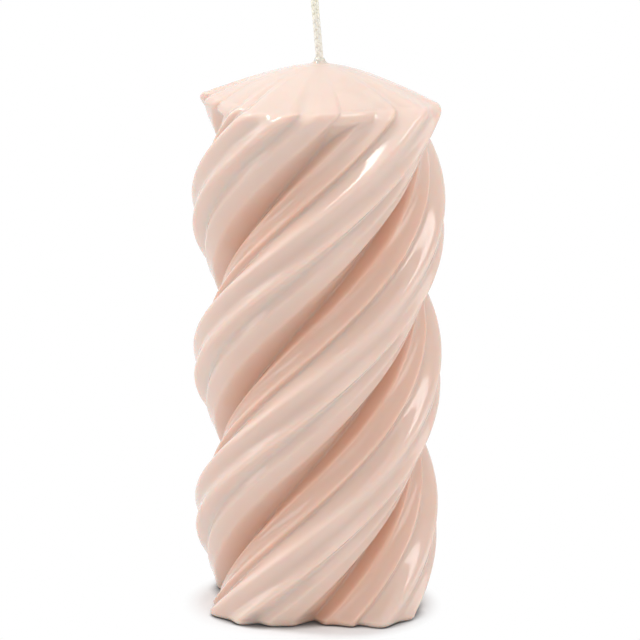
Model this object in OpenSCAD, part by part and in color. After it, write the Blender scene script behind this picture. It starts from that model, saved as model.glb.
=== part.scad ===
// Twisted pillar candle: a moulded wax body of ribbed lobes that turn as they
// rise to a domed, fluted top, a cotton wick through its axis, and the metal
// sustainer that holds the wick's foot in the base. Millimetres, +Z up, with
// the origin at the middle of the base.

/* [Wax body] */
// Height of the rim above the base
rim_h = 140.6; // [80:0.1:240]
// Rise of the domed top from the rim to the wick
dome_h = 9.4; // [5:0.1:25]
// Height in which the lobes make one full turn
lead = 170.5; // [100:0.5:400]
// Angle of the first valley at the base
start_angle = -3.9; // [-45:0.1:45]
// Number of lobes round the axis
lobes = 4; // [3:1:4]
// Growth of every radius from the base to the rim
flare = 1.2; // [0:0.05:3]
// Height of the foot, over which the lobes swell towards the base
foot_h = 20; // [5:1:40]
// Swell of every radius at the base
foot_swell = 1.1; // [0:0.1:2]
// Share of the dome that is a straight cone, the rest is a bowl
cone_ratio = 0.3; // [0:0.05:1]
// Power with which the relief of the lobes fades from the rim to the wick
fade_power = 2; // [1:0.5:3]
// Height below the rim over which the valleys fill up
fill_h = 9; // [4:0.5:30]
// Rounding of the rim
rim_round = 3; // [0.4:0.1:5]
// Rounding of the edge of the base
base_round = 1.6; // [0.3:0.1:3]

/* [Lobe radii] */
// Radius at the root of the deep valley
valley_r = 22; // [18:0.1:23]
// Radius of the edge where the valley's wall meets the ledge
edge_r = 26.2; // [25:0.1:28]
// Radius of the lip that ends the ledge
lip_r = 29.3; // [28:0.1:31]
// Radius of the nick between the lip and the crest
nick_r = 28.2; // [26:0.1:29]
// Radius of the broad crest
crest_r = 33.5; // [31:0.1:37]
// Radius of the hollow between the crest and the bead
hollow_r = 32.3; // [30:0.1:36]
// Radius of the bead
bead_r = 33.4; // [31:0.1:37]
// Radius of the step under the bead
step_r = 29.5; // [27:0.1:31]
// Radius of the shoulder
shoulder_r = 30.1; // [28:0.1:32]
// Radius of the brow where the facet turns in
brow_r = 27.7; // [26:0.1:29.5]
// Radius of the fold where the brow drops into the valley
fold_r = 23.5; // [22.5:0.1:27]
// Radius to which the valley has filled up at the rim
fill_r = 26.6; // [25:0.1:28]
// Depth of the dish in the ledge
ledge_dish = 0.8; // [0:0.1:1.2]

/* [Lobe widths in degrees] */
// From the root of the valley to the edge
wall_angle = 5.6; // [4:0.1:7]
// From the edge to the lip
ledge_angle = 14.2; // [12:0.1:16]
// From the lip to the nick
nick_angle = 5.3; // [4:0.1:7]
// From the nick up to the crest
rise_angle = 8.7; // [7:0.1:10]
// From the crest to the hollow
crest_angle = 10.7; // [9:0.1:12]
// From the hollow to the bead
bead_angle = 8; // [6:0.1:8.5]
// From the bead down to the step
fall_angle = 6.5; // [5:0.1:7]
// From the step to the shoulder
shoulder_angle = 8; // [5:0.1:8.5]
// From the shoulder to the brow
facet_angle = 11.5; // [9:0.1:12.5]
// From the brow to the fold
brow_angle = 7; // [5:0.1:8.5]

/* [Wick] */
// Diameter of the wick
wick_d = 2.2; // [1.2:0.1:4]
// Length of the leaning stub, measured above the bend
stub_l = 17.5; // [4:0.5:25]
// Lean of the stub from upright
stub_angle = 5.5; // [1:0.5:30]
// Radius of the bend under the stub
bend_r = 8; // [4:1:40]
// Gap all round the wick in the wax and in its neck
wick_gap = 0.05; // [0.02:0.01:0.2]
// Height of the wax that has crept up the wick
creep_h = 1.2; // [0.5:0.1:2]
// Radius of the hollow flank of that wax
creep_flank = 2.2; // [2.1:0.1:4]
// Thickness of that wax at its upper edge
creep_edge = 0.2; // [0.1:0.05:0.5]

/* [Wick sustainer] */
// Diameter of the disc
disc_d = 15; // [10:0.5:25]
// Thickness of the sheet metal
sheet_t = 0.3; // [0.2:0.05:0.6]
// Height of the neck above the top of the disc
neck_h = 4; // [2:0.5:8]
// Radius of the bend from the disc to the neck
neck_bend = 0.8; // [0.3:0.1:1.5]
// Depth of the disc's underside in the base
disc_inset = 0.6; // [0.2:0.1:2]
// Gap round the disc and round the neck
disc_gap = 0.2; // [0.1:0.05:0.5]

/* [Hidden] */
$fn = 64;
wax_colour = [0.91, 0.79, 0.73];
cotton_colour = [0.88, 0.84, 0.70];
tinplate_colour = [0.75, 0.76, 0.78];

// Places of the ribs of one lobe, counted from the root of its valley
pitch = 360 / lobes;
edge_at = wall_angle;
lip_at = edge_at + ledge_angle;
nick_at = lip_at + nick_angle;
crest_at = nick_at + rise_angle;
hollow_at = crest_at + crest_angle;
bead_at = hollow_at + bead_angle;
step_at = bead_at + fall_angle;
shoulder_at = step_at + shoulder_angle;
brow_at = shoulder_at + facet_angle;
fold_at = brow_at + brow_angle;

// Each stretch of the lobe: form, number of steps, and place and radius of both ends
stretches = [
    ["line", 1, 0, valley_r, edge_at, edge_r],
    ["dish", 4, edge_at, edge_r, lip_at, lip_r],
    ["wave", 3, lip_at, lip_r, nick_at, nick_r],
    ["wave", 4, nick_at, nick_r, crest_at, crest_r],
    ["wave", 4, crest_at, crest_r, hollow_at, hollow_r],
    ["wave", 3, hollow_at, hollow_r, bead_at, bead_r],
    ["wave", 3, bead_at, bead_r, step_at, step_r],
    ["wave", 3, step_at, step_r, shoulder_at, shoulder_r],
    ["line", 2, shoulder_at, shoulder_r, brow_at, brow_r],
    ["line", 2, brow_at, brow_r, fold_at, fold_r],
    ["line", 1, fold_at, fold_r, pitch, valley_r]
];

// Rings of the body from the base to the top of the dome
edge_steps = 3;
foot_steps = 3;
body_steps = 24;
fill_steps = 4;
rim_steps = 4;
dome_steps = 7;
rim_r = crest_r + flare;
rim_turn = 360 * rim_h / lead;
apex_z = rim_h + dome_h;
// Round outline that the lobes fade into towards the wick
dome_r = (valley_r + crest_r) / 2;
// Slope of the dome where it meets the crest at the rim
dome_slope = atan(dome_h * (2 - cone_ratio) / ((1 + fade_power) * rim_r - fade_power * dome_r));
rim_arc = 90 - dome_slope;
rim_inset = rim_round * (1 - cos(rim_arc));
wall_top = rim_h - rim_round * sin(rim_arc);
fill_z = wall_top - fill_h;

wick_r = wick_d / 2;
channel_r = wick_r + wick_gap;
creep_r = channel_r + creep_edge + creep_flank;
// The dome ends in a small flat under the wax that has crept up the wick
dome_end = channel_r / dome_r;
wick_bend_z = apex_z + creep_h;
bend_steps = 4;
wick_sides = 24;
neck_r = channel_r + sheet_t;
seat_z = disc_inset + sheet_t;
// How far a cut runs past the face that it opens
overcut = 1;

// Radius on the straight line between two points given by angle and radius
function line_r(a, a0, r0, a1, r1) =
    r0 * r1 * sin(a1 - a0) / (r0 * sin(a - a0) + r1 * sin(a1 - a));

// One point of a stretch, as angle and radius, at a share t of its width
function stretch_point(form, t, a0, r0, a1, r1) =
    let (a = a0 + (a1 - a0) * t)
    form == "line" ? [a, line_r(a, a0, r0, a1, r1)]
    : form == "dish" ? [a, line_r(a, a0, r0, a1, r1) - ledge_dish * sin(180 * t)]
    : [a, r0 + (r1 - r0) * (1 - cos(180 * t)) / 2];

lobe_points = [for (s = stretches) for (i = [0 : s[1] - 1])
    stretch_point(s[0], i / s[1], s[2], s[3], s[4], s[5])];
ring_n = lobes * len(lobe_points);

// Radius below which the valley has filled up at a height
function floor_r(z) = valley_r + (fill_r - valley_r) * pow(max(min((z - fill_z) / fill_h, 1), 0), 2);

// One ring: its height, its turn, what its radii gain, and its share of the way out
function ring(z, turn, gain, share) = [
    for (k = [0 : lobes - 1]) for (p = lobe_points)
        let (relief = pow(share, fade_power) * (max(p[1], floor_r(z)) + gain - dome_r),
             r = share * (dome_r + relief), t = start_angle + turn + k * pitch + p[0])
        [r * cos(t), r * sin(t), z]
];

// What every radius of the wall gains at a height
function wall_gain(z) = flare * z / rim_h + foot_swell * pow(1 - min(z / foot_h, 1), 2);

// A ring of the twisted wall, drawn in by the rounding of an edge
function wall_ring(z, inset) = ring(z, 360 * z / lead, wall_gain(z) - inset, 1);

// Height of the dome at a share of the way from the wick to the rim
function dome_z(share) = dome_h * (1 - cone_ratio * share - (1 - cone_ratio) * share * share);

// Faces of a closed tube of rings that have n points each
function tube_faces(rings, n) = concat(
    [for (k = [0 : rings - 2]) for (i = [0 : n - 1])
        let (a = k * n + i, b = k * n + (i + 1) % n)
        for (face = [[a, a + n, b + n], [a, b + n, b]]) face],
    [[for (i = [0 : n - 1]) i]],
    [[for (i = [n - 1 : -1 : 0]) (rings - 1) * n + i]]
);

// The lobed outline turns up the wall, rounds the rim and fades out over the dome
module twisted_body() {
    base_edge = [for (i = [0 : edge_steps - 1]) let (a = 90 * i / edge_steps)
        wall_ring(base_round * (1 - cos(a)), base_round * (1 - sin(a)))];
    foot = [for (i = [0 : foot_steps - 1])
        wall_ring(base_round + (foot_h - base_round) * i / foot_steps, 0)];
    wall = [for (i = [0 : body_steps - 1])
        wall_ring(foot_h + (fill_z - foot_h) * i / body_steps, 0)];
    filled = [for (i = [0 : fill_steps]) wall_ring(fill_z + fill_h * i / fill_steps, 0)];
    rim_edge = [for (i = [1 : rim_steps]) let (a = rim_arc * i / rim_steps)
        wall_ring(wall_top + rim_round * sin(a), rim_round * (1 - cos(a)))];
    dome = [for (i = [1 : dome_steps]) let (share = 1 - (1 - dome_end) * i / dome_steps)
        ring(rim_h + dome_z(share), rim_turn, flare - rim_inset, share)];
    rings = concat(base_edge, foot, wall, filled, rim_edge, dome);
    polyhedron([for (r = rings) for (p = r) p], tube_faces(len(rings), ring_n));
}

// Wax that has crept up the foot of the wick, with a hollow flank
module wax_creep() {
    translate([0, 0, apex_z - creep_flank])
        rotate_extrude()
            difference() {
                square([creep_r, creep_flank + creep_h]);
                translate([creep_r, creep_flank + creep_h]) circle(r = creep_flank);
            }
}

module wax_body() {
    color(wax_colour)
        difference() {
            union() {
                twisted_body();
                wax_creep();
            }
            translate([0, 0, -overcut])
                cylinder(h = apex_z + creep_h + 2 * overcut, r = channel_r);
            translate([0, 0, -overcut])
                cylinder(h = seat_z + overcut, r = disc_d / 2 + disc_gap);
            translate([0, 0, -overcut])
                cylinder(h = seat_z + neck_h + disc_gap + overcut, r = neck_r + neck_bend + disc_gap);
        }
}

// One ring of the wick: its lean and how far it lies along the leaning stub
function wick_ring(z, lean, along) = [
    for (i = [0 : wick_sides - 1])
        let (t = 360 * i / wick_sides, x = wick_r * cos(t) + bend_r)
        [x * cos(lean) - bend_r - along * sin(lean), wick_r * sin(t), z + x * sin(lean) + along * cos(lean)]
];

// Upright through the wax, bent where it leaves the wax, then straight to its cut end
module wick() {
    bend = [for (i = [0 : bend_steps]) wick_ring(wick_bend_z, stub_angle * i / bend_steps, 0)];
    rings = concat([wick_ring(disc_inset, 0, 0)], bend, [wick_ring(wick_bend_z, stub_angle, stub_l)]);
    color(cotton_colour)
        polyhedron([for (r = rings) for (p = r) p], tube_faces(len(rings), wick_sides));
}

// A stamped disc whose middle is drawn up into the neck that grips the wick
module wick_sustainer() {
    color(tinplate_colour)
        translate([0, 0, disc_inset])
            rotate_extrude()
                difference() {
                    union() {
                        translate([channel_r, 0]) square([disc_d / 2 - channel_r, sheet_t]);
                        translate([channel_r, 0]) square([sheet_t, sheet_t + neck_h]);
                        translate([channel_r, 0]) square([sheet_t + neck_bend, sheet_t + neck_bend]);
                    }
                    translate([neck_r + neck_bend, sheet_t + neck_bend]) circle(r = neck_bend);
                }
}

wax_body();
wick();
wick_sustainer();
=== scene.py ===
import math
import bmesh
import bpy
from mathutils import Matrix, Vector


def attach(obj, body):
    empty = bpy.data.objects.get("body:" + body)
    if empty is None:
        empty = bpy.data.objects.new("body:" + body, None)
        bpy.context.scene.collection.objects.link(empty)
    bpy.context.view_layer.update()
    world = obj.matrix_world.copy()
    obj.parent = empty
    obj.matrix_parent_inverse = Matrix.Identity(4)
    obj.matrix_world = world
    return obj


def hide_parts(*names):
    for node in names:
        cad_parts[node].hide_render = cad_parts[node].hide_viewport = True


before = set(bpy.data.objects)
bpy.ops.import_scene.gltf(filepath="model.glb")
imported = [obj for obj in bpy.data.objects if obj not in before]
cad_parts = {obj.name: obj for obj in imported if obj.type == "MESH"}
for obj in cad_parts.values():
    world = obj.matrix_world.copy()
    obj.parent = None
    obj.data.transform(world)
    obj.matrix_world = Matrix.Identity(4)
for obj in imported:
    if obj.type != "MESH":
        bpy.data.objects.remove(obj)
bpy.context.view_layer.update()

# Wax body: one casting of blush-pink candle wax, poured upside down into a
# twisted mould and drawn out glossy. Four ribbed lobes turn up to the rim and
# fade out over the dome, and a little wax has crept up the wick.
RIM_H = 0.1406
DOME_H = 0.0094
LEAD = 0.1705
START_ANGLE = -3.9
LOBES = 4
FLARE = 0.0012
FOOT_H = 0.020
FOOT_SWELL = 0.0011
CONE_RATIO = 0.3
FADE_POWER = 2
RIM_ROUND = 0.0030
BASE_ROUND = 0.0016
VALLEY_R, EDGE_R, LIP_R, NICK_R = 0.0220, 0.0262, 0.0293, 0.0282
CREST_R, HOLLOW_R, BEAD_R = 0.0335, 0.0323, 0.0334
STEP_R, SHOULDER_R, BROW_R, FOLD_R = 0.0295, 0.0301, 0.0277, 0.0235
LEDGE_DISH = 0.0008
FILL_R = 0.0266
FILL_H = 0.009
SHADE_FADE_H = 0.024
RIM_SHADE_FADE = 0.9
DOME_R = (VALLEY_R + CREST_R) / 2
APEX_Z = RIM_H + DOME_H
CREEP_R = 0.00355
CREEP_EDGE_R = 0.00135
CREEP_H = 0.0012
CHANNEL_R = 0.00115
MOUTH_H = 0.004
NECK_HOLE_R = 0.00245
NECK_HOLE_H = 0.0051
DISC_HOLE_R = 0.0077
DISC_HOLE_H = 0.0009
HOLE_EDGE = 0.0002
RING_POINTS = 360
SMOOTHINGS = 2
WALL_STEPS = 120
RIM_STEPS = 10
DOME_STEPS = 36
CREEP_STEPS = 8
EDGE_STEPS = 5

# Ribs of one lobe: the angle of each from the valley's root, its radius, its
# depth of painted shade and the form of the wax from it to the next
RIBS = (
    (0, VALLEY_R, 1.0, "line"),
    (5.6, EDGE_R, 0.9, "dish"),
    (19.8, LIP_R, 0.5, "wave"),
    (25.1, NICK_R, 0.3, "ridge"),
    (33.8, CREST_R, 0.0, "wave"),
    (44.5, HOLLOW_R, 0.27, "wave"),
    (52.5, BEAD_R, 0.0, "wave"),
    (59.0, STEP_R, 0.06, "wave"),
    (67.0, SHOULDER_R, 0.07, "line"),
    (78.5, BROW_R, 0.31, "line"),
    (85.5, FOLD_R, 0.72, "line"),
    (90, VALLEY_R, 1.0, "line"),
)


def straight_r(a, a0, r0, a1, r1):
    """Radius at an angle on the straight line between two points of the outline."""
    return r0 * r1 * math.sin(a1 - a0) / (r0 * math.sin(a - a0) + r1 * math.sin(a1 - a))


def lobe_at(degrees):
    """Radius and depth of painted groove shade of a lobe's outline at an angle from its valley's
    root.
    """
    k = max(i for i in range(len(RIBS) - 1) if RIBS[i][0] <= degrees)
    (a0, r0, shade0, form), (a1, r1, shade1, _) = RIBS[k], RIBS[k + 1]
    t = (degrees - a0) / (a1 - a0)
    groove_shade = shade0 * (1 - t) + shade1 * t
    if form in ("line", "dish"):
        radius = straight_r(math.radians(degrees), math.radians(a0), r0, math.radians(a1), r1)
        dish = LEDGE_DISH * math.sin(math.pi * t) if form == "dish" else 0
        return radius - dish, groove_shade
    ease = (1 - math.cos(math.pi * t)) / 2
    if form == "ridge":
        ease = (ease + 1 - (1 - t) ** 2) / 2
    return r0 + (r1 - r0) * ease, groove_shade


def radius_of(vert):
    return math.hypot(vert.co.x, vert.co.y)


def set_radius(vert, radius):
    scale = radius / radius_of(vert)
    vert.co.x *= scale
    vert.co.y *= scale


def extrude_ring(bm, edges):
    """A new ring of edges on an open rim, with its points."""
    made = bmesh.ops.extrude_edge_only(bm, edges=edges)["geom"]
    verts = [g for g in made if isinstance(g, bmesh.types.BMVert)]
    fresh = set(verts)
    rim = [g for g in made if isinstance(g, bmesh.types.BMEdge) and fresh.issuperset(g.verts)]
    return rim, verts


def turn_about_axis(bm, verts, angle):
    turn = Matrix.Rotation(angle, 3, "Z")
    bmesh.ops.rotate(bm, verts=verts, cent=(0, 0, 0), matrix=turn)


def make_piece(bm, name):
    mesh = bpy.data.meshes.new(name)
    bm.to_mesh(mesh)
    bm.free()
    piece = bpy.data.objects.new(name, mesh)
    bpy.context.collection.objects.link(piece)
    return piece


bm = bmesh.new()
# Painted shade: a share per point of darkening in the grooves, where shade falls, later carried into
# the wax's colour
painted_shade = bm.verts.layers.float.new("painted_shade_depth")
outline = bmesh.ops.create_circle(bm, segments=RING_POINTS, radius=CREST_R)["verts"]
for v in outline:
    angle = math.degrees(math.atan2(v.co.y, v.co.x)) % (360 / LOBES)
    radius, v[painted_shade] = lobe_at(angle)
    set_radius(v, radius)
for i in range(SMOOTHINGS):
    bmesh.ops.smooth_vert(bm, verts=outline, factor=0.5, use_axis_x=True, use_axis_y=True)

# Twisted wall: the valleys fill up and the painted groove shade pales below the rim, and the foot
# swells
rim_run = (1 + FADE_POWER) * (CREST_R + FLARE) - FADE_POWER * DOME_R
rim_arc = math.pi / 2 - math.atan(DOME_H * (2 - CONE_RATIO) / rim_run)
wall_top = RIM_H - RIM_ROUND * math.sin(rim_arc)
wall_h = wall_top - BASE_ROUND
turn_about_axis(bm, outline, math.radians(START_ANGLE + 360 * BASE_ROUND / LEAD))
bmesh.ops.translate(bm, verts=outline, vec=(0, 0, BASE_ROUND))
foot_edges = list(bm.edges)
last = bmesh.ops.spin(bm, geom=outline + foot_edges, cent=(0, 0, 0), axis=(0, 0, 1),
                      dvec=(0, 0, wall_h / WALL_STEPS), angle=math.tau * wall_h / LEAD,
                      steps=WALL_STEPS, use_merge=False)["geom_last"]
for v in bm.verts:
    filled = max(0, (v.co.z - wall_top) / FILL_H + 1) ** 2
    radius = max(radius_of(v), VALLEY_R + (FILL_R - VALLEY_R) * filled)
    # The painted groove shade is made lighter towards the rim
    v[painted_shade] *= 1 - RIM_SHADE_FADE * max(0, (v.co.z - wall_top) / SHADE_FADE_H + 1)
    swell = FOOT_SWELL * (1 - min(v.co.z / FOOT_H, 1)) ** 2
    set_radius(v, radius + FLARE * v.co.z / RIM_H + swell)

# Rim and dome: the outline rounds over, shrinks and loses its relief
ring = [g for g in last if isinstance(g, bmesh.types.BMEdge)]
for i in range(1, RIM_STEPS + 1):
    ring, verts = extrude_ring(bm, ring)
    a0, a1 = rim_arc * (i - 1) / RIM_STEPS, rim_arc * i / RIM_STEPS
    rise = RIM_ROUND * (math.sin(a1) - math.sin(a0))
    bmesh.ops.translate(bm, verts=verts, vec=(0, 0, rise))
    turn_about_axis(bm, verts, math.tau * rise / LEAD)
    for v in verts:
        set_radius(v, radius_of(v) - RIM_ROUND * (math.cos(a0) - math.cos(a1)))
share = 1
for i in range(1, DOME_STEPS + 1):
    ring, verts = extrude_ring(bm, ring)
    new_share = 1 - (1 - CREEP_R / DOME_R) * i / DOME_STEPS
    for v in verts:
        relief = (radius_of(v) / share - DOME_R) / share ** FADE_POWER
        set_radius(v, new_share * (DOME_R + new_share ** FADE_POWER * relief))
        v.co.z = RIM_H + DOME_H * (1 - CONE_RATIO * new_share - (1 - CONE_RATIO) * new_share ** 2)
        # The painted groove shade fades out over the dome
        v[painted_shade] *= (new_share / share) ** (2 * FADE_POWER)
    share = new_share

# Crept wax, the channel for the wick and the recess for its sustainer
creep_z = verts[0].co.z
for i in range(1, CREEP_STEPS + 1):
    ring, verts = extrude_ring(bm, ring)
    a = math.pi / 2 * i / CREEP_STEPS
    for v in verts:
        set_radius(v, CREEP_R - (CREEP_R - CREEP_EDGE_R) * math.sin(a))
        v.co.z = creep_z + (APEX_Z + CREEP_H - creep_z) * (1 - math.cos(a))
for radius, z in ((CHANNEL_R, APEX_Z + CREEP_H), (CHANNEL_R, APEX_Z - MOUTH_H),
                  (CHANNEL_R, NECK_HOLE_H), (NECK_HOLE_R, NECK_HOLE_H),
                  (NECK_HOLE_R, DISC_HOLE_H), (DISC_HOLE_R, DISC_HOLE_H),
                  (DISC_HOLE_R, HOLE_EDGE), (DISC_HOLE_R + HOLE_EDGE, 0)):
    ring, verts = extrude_ring(bm, ring)
    for v in verts:
        set_radius(v, radius)
        v.co.z = z

# Rounded edge of the foot, then the flat base from it to the recess
foot = foot_edges
for i in range(1, EDGE_STEPS + 1):
    foot, verts = extrude_ring(bm, foot)
    a0, a1 = math.pi / 2 * (i - 1) / EDGE_STEPS, math.pi / 2 * i / EDGE_STEPS
    for v in verts:
        set_radius(v, radius_of(v) - BASE_ROUND * (math.cos(a0) - math.cos(a1)))
        v.co.z = BASE_ROUND * (1 - math.sin(a1))
bmesh.ops.bridge_loops(bm, edges=foot + ring)
bmesh.ops.recalc_face_normals(bm, faces=bm.faces)
for f in bm.faces:
    f.smooth = True
wax_body = make_piece(bm, "wax_body_cast")


def new_finish(name, settings):
    """A material with settings on its shader's sockets, its node tree and that shader."""
    finish = bpy.data.materials.new(name)
    finish.use_nodes = True
    shader = finish.node_tree.nodes["Principled BSDF"]
    for socket, value in settings.items():
        shader.inputs[socket].default_value = value
    return finish, finish.node_tree, shader


def mottle(tree, place, scale, detail):
    """Soft random patches."""
    patches = tree.nodes.new("ShaderNodeTexNoise")
    patches.inputs["Scale"].default_value = scale
    patches.inputs["Detail"].default_value = detail
    tree.links.new(place, patches.inputs["Vector"])
    return patches.outputs["Fac"]


def two_tints(tree, patches, first, second):
    """A colour that runs from one tint to another over the middle of the patches' range."""
    ramp = tree.nodes.new("ShaderNodeValToRGB")
    ramp.color_ramp.elements[0].position = 0.3
    ramp.color_ramp.elements[0].color = (*first, 1)
    ramp.color_ramp.elements[1].position = 0.7
    ramp.color_ramp.elements[1].color = (*second, 1)
    tree.links.new(patches, ramp.inputs["Fac"])
    return ramp.outputs["Color"]


def blend_tints(tree, share, first, second):
    blend = tree.nodes.new("ShaderNodeMix")
    blend.data_type = "RGBA"
    tree.links.new(share, blend.inputs["Factor"])
    tree.links.new(first, blend.inputs["A"])
    tree.links.new(second, blend.inputs["B"])
    return blend.outputs["Result"]


def stretch(tree, value, before, after, course="LINEAR"):
    """A value's range carried over to another range."""
    spread = tree.nodes.new("ShaderNodeMapRange")
    spread.interpolation_type = course
    spread.inputs["From Min"].default_value, spread.inputs["From Max"].default_value = before
    spread.inputs["To Min"].default_value, spread.inputs["To Max"].default_value = after
    tree.links.new(value, spread.inputs["Value"])
    return spread.outputs["Result"]


def raise_skin(tree, shader, height, strength, distance):
    skin = tree.nodes.new("ShaderNodeBump")
    skin.inputs["Strength"].default_value = strength
    skin.inputs["Distance"].default_value = distance
    tree.links.new(height, skin.inputs["Height"])
    tree.links.new(skin.outputs["Normal"], shader.inputs["Normal"])


# Blush wax: translucent, faintly clouded, with painted shade that darkens the
# colour in the grooves and leaves the crests light, glossy from the mould, with slow
# waves in its skin and a few pinholes left by air in the pour
wax, tree, shader = new_finish("blush_wax", {
    "IOR": 1.5,
    "Subsurface Weight": 1.0,
    "Subsurface Radius": (1.0, 0.5, 0.35),
    "Subsurface Scale": 0.0025,
})
place = tree.nodes.new("ShaderNodeTexCoord").outputs["Object"]
cloud = mottle(tree, place, scale=45, detail=5)
# The crest tint is the wax's own colour. The groove tint is the same wax with painted shade, blended
# in by the painted shade depth.
crest_tint = two_tints(tree, cloud, (0.760, 0.600, 0.518), (0.780, 0.625, 0.545))
groove_shade_tint = two_tints(tree, cloud, (0.705, 0.43, 0.315), (0.725, 0.455, 0.34))
shade_depth_node = tree.nodes.new("ShaderNodeAttribute")
shade_depth_node.attribute_name = "painted_shade_depth"
groove_shade = blend_tints(tree, shade_depth_node.outputs["Fac"], crest_tint, groove_shade_tint)
tree.links.new(groove_shade, shader.inputs["Base Color"])
rub = mottle(tree, place, scale=160, detail=4)
gloss = stretch(tree, rub, before=(0.3, 0.7), after=(0.05, 0.13))
tree.links.new(gloss, shader.inputs["Roughness"])
waves = mottle(tree, place, scale=80, detail=2)
bubbles = tree.nodes.new("ShaderNodeTexVoronoi")
bubbles.inputs["Scale"].default_value = 110
tree.links.new(place, bubbles.inputs["Vector"])
pinhole = stretch(tree, bubbles.outputs["Distance"], before=(0.015, 0.04), after=(-1.2, 0),
                  course="SMOOTHSTEP")
chance = tree.nodes.new("ShaderNodeSeparateColor")
tree.links.new(bubbles.outputs["Color"], chance.inputs["Color"])
broken = tree.nodes.new("ShaderNodeMath")
broken.operation = "GREATER_THAN"
broken.inputs[1].default_value = 0.9
tree.links.new(chance.outputs["Red"], broken.inputs[0])
height = tree.nodes.new("ShaderNodeMath")
height.operation = "MULTIPLY_ADD"
tree.links.new(pinhole, height.inputs[0])
tree.links.new(broken.outputs["Value"], height.inputs[1])
tree.links.new(waves, height.inputs[2])
raise_skin(tree, shader, height.outputs["Value"], strength=0.2, distance=0.0006)
wax_body.data.materials.append(wax)
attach(wax_body, "root")
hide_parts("wax_body")

# Wick: a braid of eight cotton strands, primed with wax. It runs up the axis
# from the sustainer's neck and stands out of the dome as a leaning stub.
WICK_R = 0.0011
STRAND_R = 0.00045
STRAND_SIDES = 8
STRANDS_EACH_WAY = 4
WEAVE = 0.00006
BRAID_R = WICK_R - STRAND_R - WEAVE
BRAID_LEAD = 0.009
TURN_STEPS = 24
WICK_FOOT = 0.0006
BEND_Z = APEX_Z + CREEP_H
BEND_R = 0.008
STUB_LEAN = math.radians(5.5)
STUB_L = 0.0175
SOAKED_Z = 0.1615
DRY_Z = 0.1635
wick_l = BEND_Z + BEND_R * STUB_LEAN + STUB_L - WICK_FOOT
turns = wick_l / BRAID_LEAD
steps = round(turns * TURN_STEPS)
slant = math.atan(math.tau * BRAID_R / BRAID_LEAD)
between = math.tau / STRANDS_EACH_WAY
bm = bmesh.new()
for way in (1, -1):
    end = bmesh.ops.create_circle(bm, segments=STRAND_SIDES, radius=STRAND_R, cap_ends=True)["verts"]
    tilt = Matrix.Rotation(-way * slant, 3, "X")
    bmesh.ops.rotate(bm, verts=end, cent=(0, 0, 0), matrix=tilt)
    bmesh.ops.translate(bm, verts=end, vec=(BRAID_R, 0, WICK_FOOT))
    others = set(bm.verts) - set(end)
    face = end[0].link_faces[0]
    bmesh.ops.spin(bm, geom=[face] + list(face.edges) + end, cent=(0, 0, 0), axis=(0, 0, 1),
                   dvec=(0, 0, wick_l / steps), angle=way * math.tau * turns,
                   steps=steps, use_merge=False)
    strand = [v for v in bm.verts if v not in others]
    for v in strand:
        over = math.sin(STRANDS_EACH_WAY * math.tau * (v.co.z - WICK_FOOT) / BRAID_LEAD)
        set_radius(v, radius_of(v) + way * WEAVE * over)
    if way < 0:
        turn_about_axis(bm, strand, between / 2)
    faces = [f for f in bm.faces if others.isdisjoint(f.verts)]
    for k in range(1, STRANDS_EACH_WAY):
        copy = bmesh.ops.duplicate(bm, geom=faces)["geom"]
        turn_about_axis(bm, [g for g in copy if isinstance(g, bmesh.types.BMVert)], between * k)
bmesh.ops.recalc_face_normals(bm, faces=bm.faces)
for v in bm.verts:
    along = v.co.z - BEND_Z
    if along > 0:
        bend = min(along / BEND_R, STUB_LEAN)
        rest = along - BEND_R * bend
        x = v.co.x + BEND_R
        v.co.x = x * math.cos(bend) - BEND_R - rest * math.sin(bend)
        v.co.z = BEND_Z + x * math.sin(bend) + rest * math.cos(bend)
for f in bm.faces:
    f.smooth = len(f.verts) < STRAND_SIDES
wick = make_piece(bm, "wick_braid")

# Waxed cotton: ivory yarn with fine fibres, shiny where it is soaked with wax
# above the dome, and yellower and dull where it is dry towards the cut end
cotton, tree, shader = new_finish("waxed_cotton", {
    "Subsurface Weight": 0.3,
    "Subsurface Radius": (1.0, 0.9, 0.7),
    "Subsurface Scale": 0.0003,
})
place = tree.nodes.new("ShaderNodeTexCoord").outputs["Object"]
fibre = mottle(tree, place, scale=4200, detail=3)
upright = tree.nodes.new("ShaderNodeSeparateXYZ")
tree.links.new(place, upright.inputs["Vector"])
dryness = stretch(tree, upright.outputs["Z"], before=(SOAKED_Z, DRY_Z), after=(0, 1),
                  course="SMOOTHSTEP")
soaked = two_tints(tree, fibre, (0.90, 0.85, 0.74), (0.97, 0.93, 0.83))
dry = two_tints(tree, fibre, (0.90, 0.86, 0.70), (0.96, 0.93, 0.80))
tree.links.new(blend_tints(tree, dryness, soaked, dry), shader.inputs["Base Color"])
sheen = stretch(tree, dryness, before=(0, 1), after=(0.4, 0.8))
tree.links.new(sheen, shader.inputs["Roughness"])
raise_skin(tree, shader, fibre, strength=0.4, distance=0.00005)
wick.data.materials.append(cotton)
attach(wick, "root")
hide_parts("wick")

# Wick sustainer: a thin tinplate disc stamped and drawn up into a neck that is
# crimped on the wick's foot, and pressed into the recess of the base. The tin
# is bright, with a fine rolled grain and cloudy patches.
tin, tree, shader = new_finish("stamped_tinplate", {"Metallic": 1.0})
place = tree.nodes.new("ShaderNodeTexCoord").outputs["Object"]
patches = mottle(tree, place, scale=350, detail=4)
bright = two_tints(tree, patches, (0.58, 0.58, 0.57), (0.78, 0.78, 0.77))
tree.links.new(bright, shader.inputs["Base Color"])
dull = stretch(tree, patches, before=(0.3, 0.7), after=(0.22, 0.45))
tree.links.new(dull, shader.inputs["Roughness"])
rolled = tree.nodes.new("ShaderNodeMapping")
rolled.inputs["Scale"].default_value = (300, 9000, 300)
tree.links.new(place, rolled.inputs["Vector"])
grain = mottle(tree, rolled.outputs["Vector"], scale=1, detail=3)
raise_skin(tree, shader, grain, strength=0.15, distance=0.00002)
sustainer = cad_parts["wick_sustainer"]
sustainer.data.materials.clear()
sustainer.data.materials.append(tin)


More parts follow.
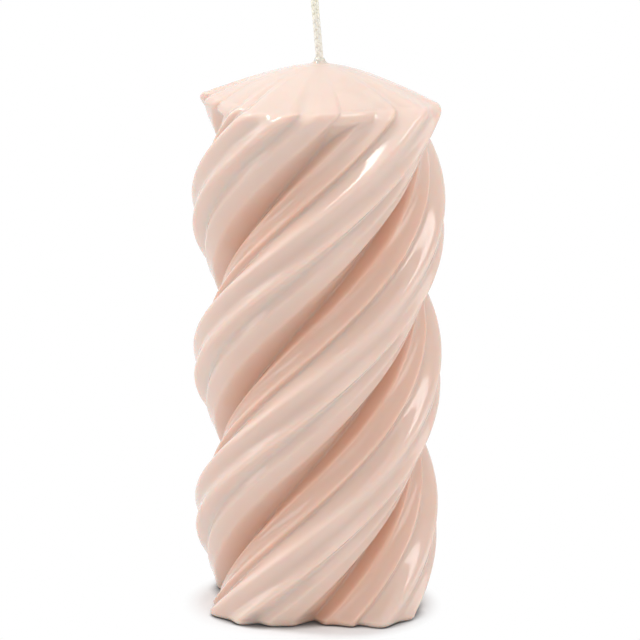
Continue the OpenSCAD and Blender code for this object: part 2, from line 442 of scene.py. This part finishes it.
def seen_directly(tree):
    """1 for what the camera, a gloss or a clear surface sees, and 0 for plain light."""
    path = tree.nodes.new("ShaderNodeLightPath")
    seen = path.outputs["Is Camera Ray"]
    for kind in ("Is Glossy Ray", "Is Transmission Ray"):
        either = tree.nodes.new("ShaderNodeMath")
        either.operation = "ADD"
        either.use_clamp = True
        tree.links.new(seen, either.inputs[0])
        tree.links.new(path.outputs[kind], either.inputs[1])
        seen = either.outputs["Value"]
    return seen


# Floor: a plain pale studio floor with shade painted into its colour where the
# wax meets it, keeps the shadow close to the candle and goes over to white further out
FLOOR_REACH = 3
CONTACT_SHADE_W = 0.006
SHADOW_MIDDLE = (-0.001, -0.006, 0)
SHADOW_R = 0.029
WHITE_R = 0.0365
bm = bmesh.new()
bmesh.ops.create_grid(bm, x_segments=1, y_segments=1, size=FLOOR_REACH)
floor = make_piece(bm, "floor")
pale, tree, shader = new_finish("pale_floor", {"Roughness": 0.8, "Specular IOR Level": 0.1})
# Painted contact shade: occlusion near the wax darkens the floor's colour
contact_shade_ao = tree.nodes.new("ShaderNodeAmbientOcclusion")
contact_shade_ao.inputs["Distance"].default_value = CONTACT_SHADE_W
shade = two_tints(tree, contact_shade_ao.outputs["AO"], (0.22, 0.22, 0.225), (0.885, 0.90, 0.915))
tree.links.new(shade, shader.inputs["Base Color"])
reach = tree.nodes.new("ShaderNodeVectorMath")
reach.operation = "DISTANCE"
reach.inputs[1].default_value = SHADOW_MIDDLE
tree.links.new(tree.nodes.new("ShaderNodeTexCoord").outputs["Object"], reach.inputs[0])
fade = stretch(tree, reach.outputs["Value"], before=(SHADOW_R, WHITE_R), after=(0, 1),
               course="SMOOTHSTEP")
share_white = tree.nodes.new("ShaderNodeMath")
share_white.operation = "MULTIPLY"
tree.links.new(fade, share_white.inputs[0])
tree.links.new(seen_directly(tree), share_white.inputs[1])
white = tree.nodes.new("ShaderNodeEmission")
blend = tree.nodes.new("ShaderNodeMixShader")
tree.links.new(share_white.outputs["Value"], blend.inputs["Fac"])
tree.links.new(shader.outputs["BSDF"], blend.inputs[1])
tree.links.new(white.outputs["Emission"], blend.inputs[2])
tree.links.new(blend.outputs["Shader"], tree.nodes["Material Output"].inputs["Surface"])
floor.data.materials.append(pale)

# Light: a bright white room with a broad tent overhead, a softbox high on each
# side for the streaks on the ribs, a weak one low on each side and a broad fill
# behind the camera
ROOM_LIGHT = 0.46
LAMP_AIM = Vector((0, 0, 0.08))
world = bpy.data.worlds.new("studio")
bpy.context.scene.world = world
world.use_nodes = True
tree = world.node_tree
room = tree.nodes["Background"]
room.inputs["Color"].default_value = (1, 1, 1, 1)
level = stretch(tree, seen_directly(tree), before=(0, 1), after=(ROOM_LIGHT, 1))
tree.links.new(level, room.inputs["Strength"])
for name, at, size, watts in (("overhead_tent", (0, -0.03, 1.08), (1.2, 1.2), 3.2),
                              ("left_high_softbox", (-0.464, 0.030, 0.851), (0.24, 0.34), 2.7),
                              ("right_high_softbox", (0.269, -0.226, 0.908), (0.5, 0.14), 1.2),
                              ("right_low_softbox", (0.888, -0.078, 0.205), (0.4, 0.6), 1.7),
                              ("left_low_softbox", (-0.888, -0.078, 0.205), (0.4, 0.6), 1.3),
                              ("front_fill", (0, -1.17, 0.35), (1.0, 0.7), 2.3)):
    lamp = bpy.data.lights.new(name, "AREA")
    lamp.shape = "RECTANGLE"
    lamp.size, lamp.size_y = size
    lamp.energy = watts
    box = bpy.data.objects.new(name, lamp)
    bpy.context.collection.objects.link(box)
    box.location = at
    box.rotation_euler = (LAMP_AIM - Vector(at)).to_track_quat("-Z", "Y").to_euler()

# Camera: looks a little down on the candle from the front, as in the photograph.
# The aim lies on a known pixel of the frame, and a pixel has its size there.
FRAME = 640
AIM_COLUMN, AIM_ROW = 317.54, 350
PIXEL = 0.0002744
FOCAL_PIXELS = 3066
SENSOR = 36
DOWN = math.radians(13.13)
ROLL = math.radians(0.397)
AIM = Vector((0, 0, 0.07069))
lens = bpy.data.cameras.new("camera")
camera = bpy.data.objects.new("camera", lens)
bpy.context.collection.objects.link(camera)
lens.sensor_width = SENSOR
lens.lens = SENSOR * FOCAL_PIXELS / FRAME
lens.shift_x = (FRAME / 2 - AIM_COLUMN) / FRAME
lens.shift_y = (AIM_ROW - FRAME / 2) / FRAME
distance = FOCAL_PIXELS * PIXEL
stand = AIM + Vector((0, -distance * math.cos(DOWN), distance * math.sin(DOWN)))
turn = Matrix.Rotation(math.pi / 2 - DOWN, 4, "X") @ Matrix.Rotation(ROLL, 4, "Z")
camera.matrix_world = Matrix.Translation(stand) @ turn
bpy.context.scene.camera = camera
bpy.context.scene.view_settings.view_transform = "Standard"
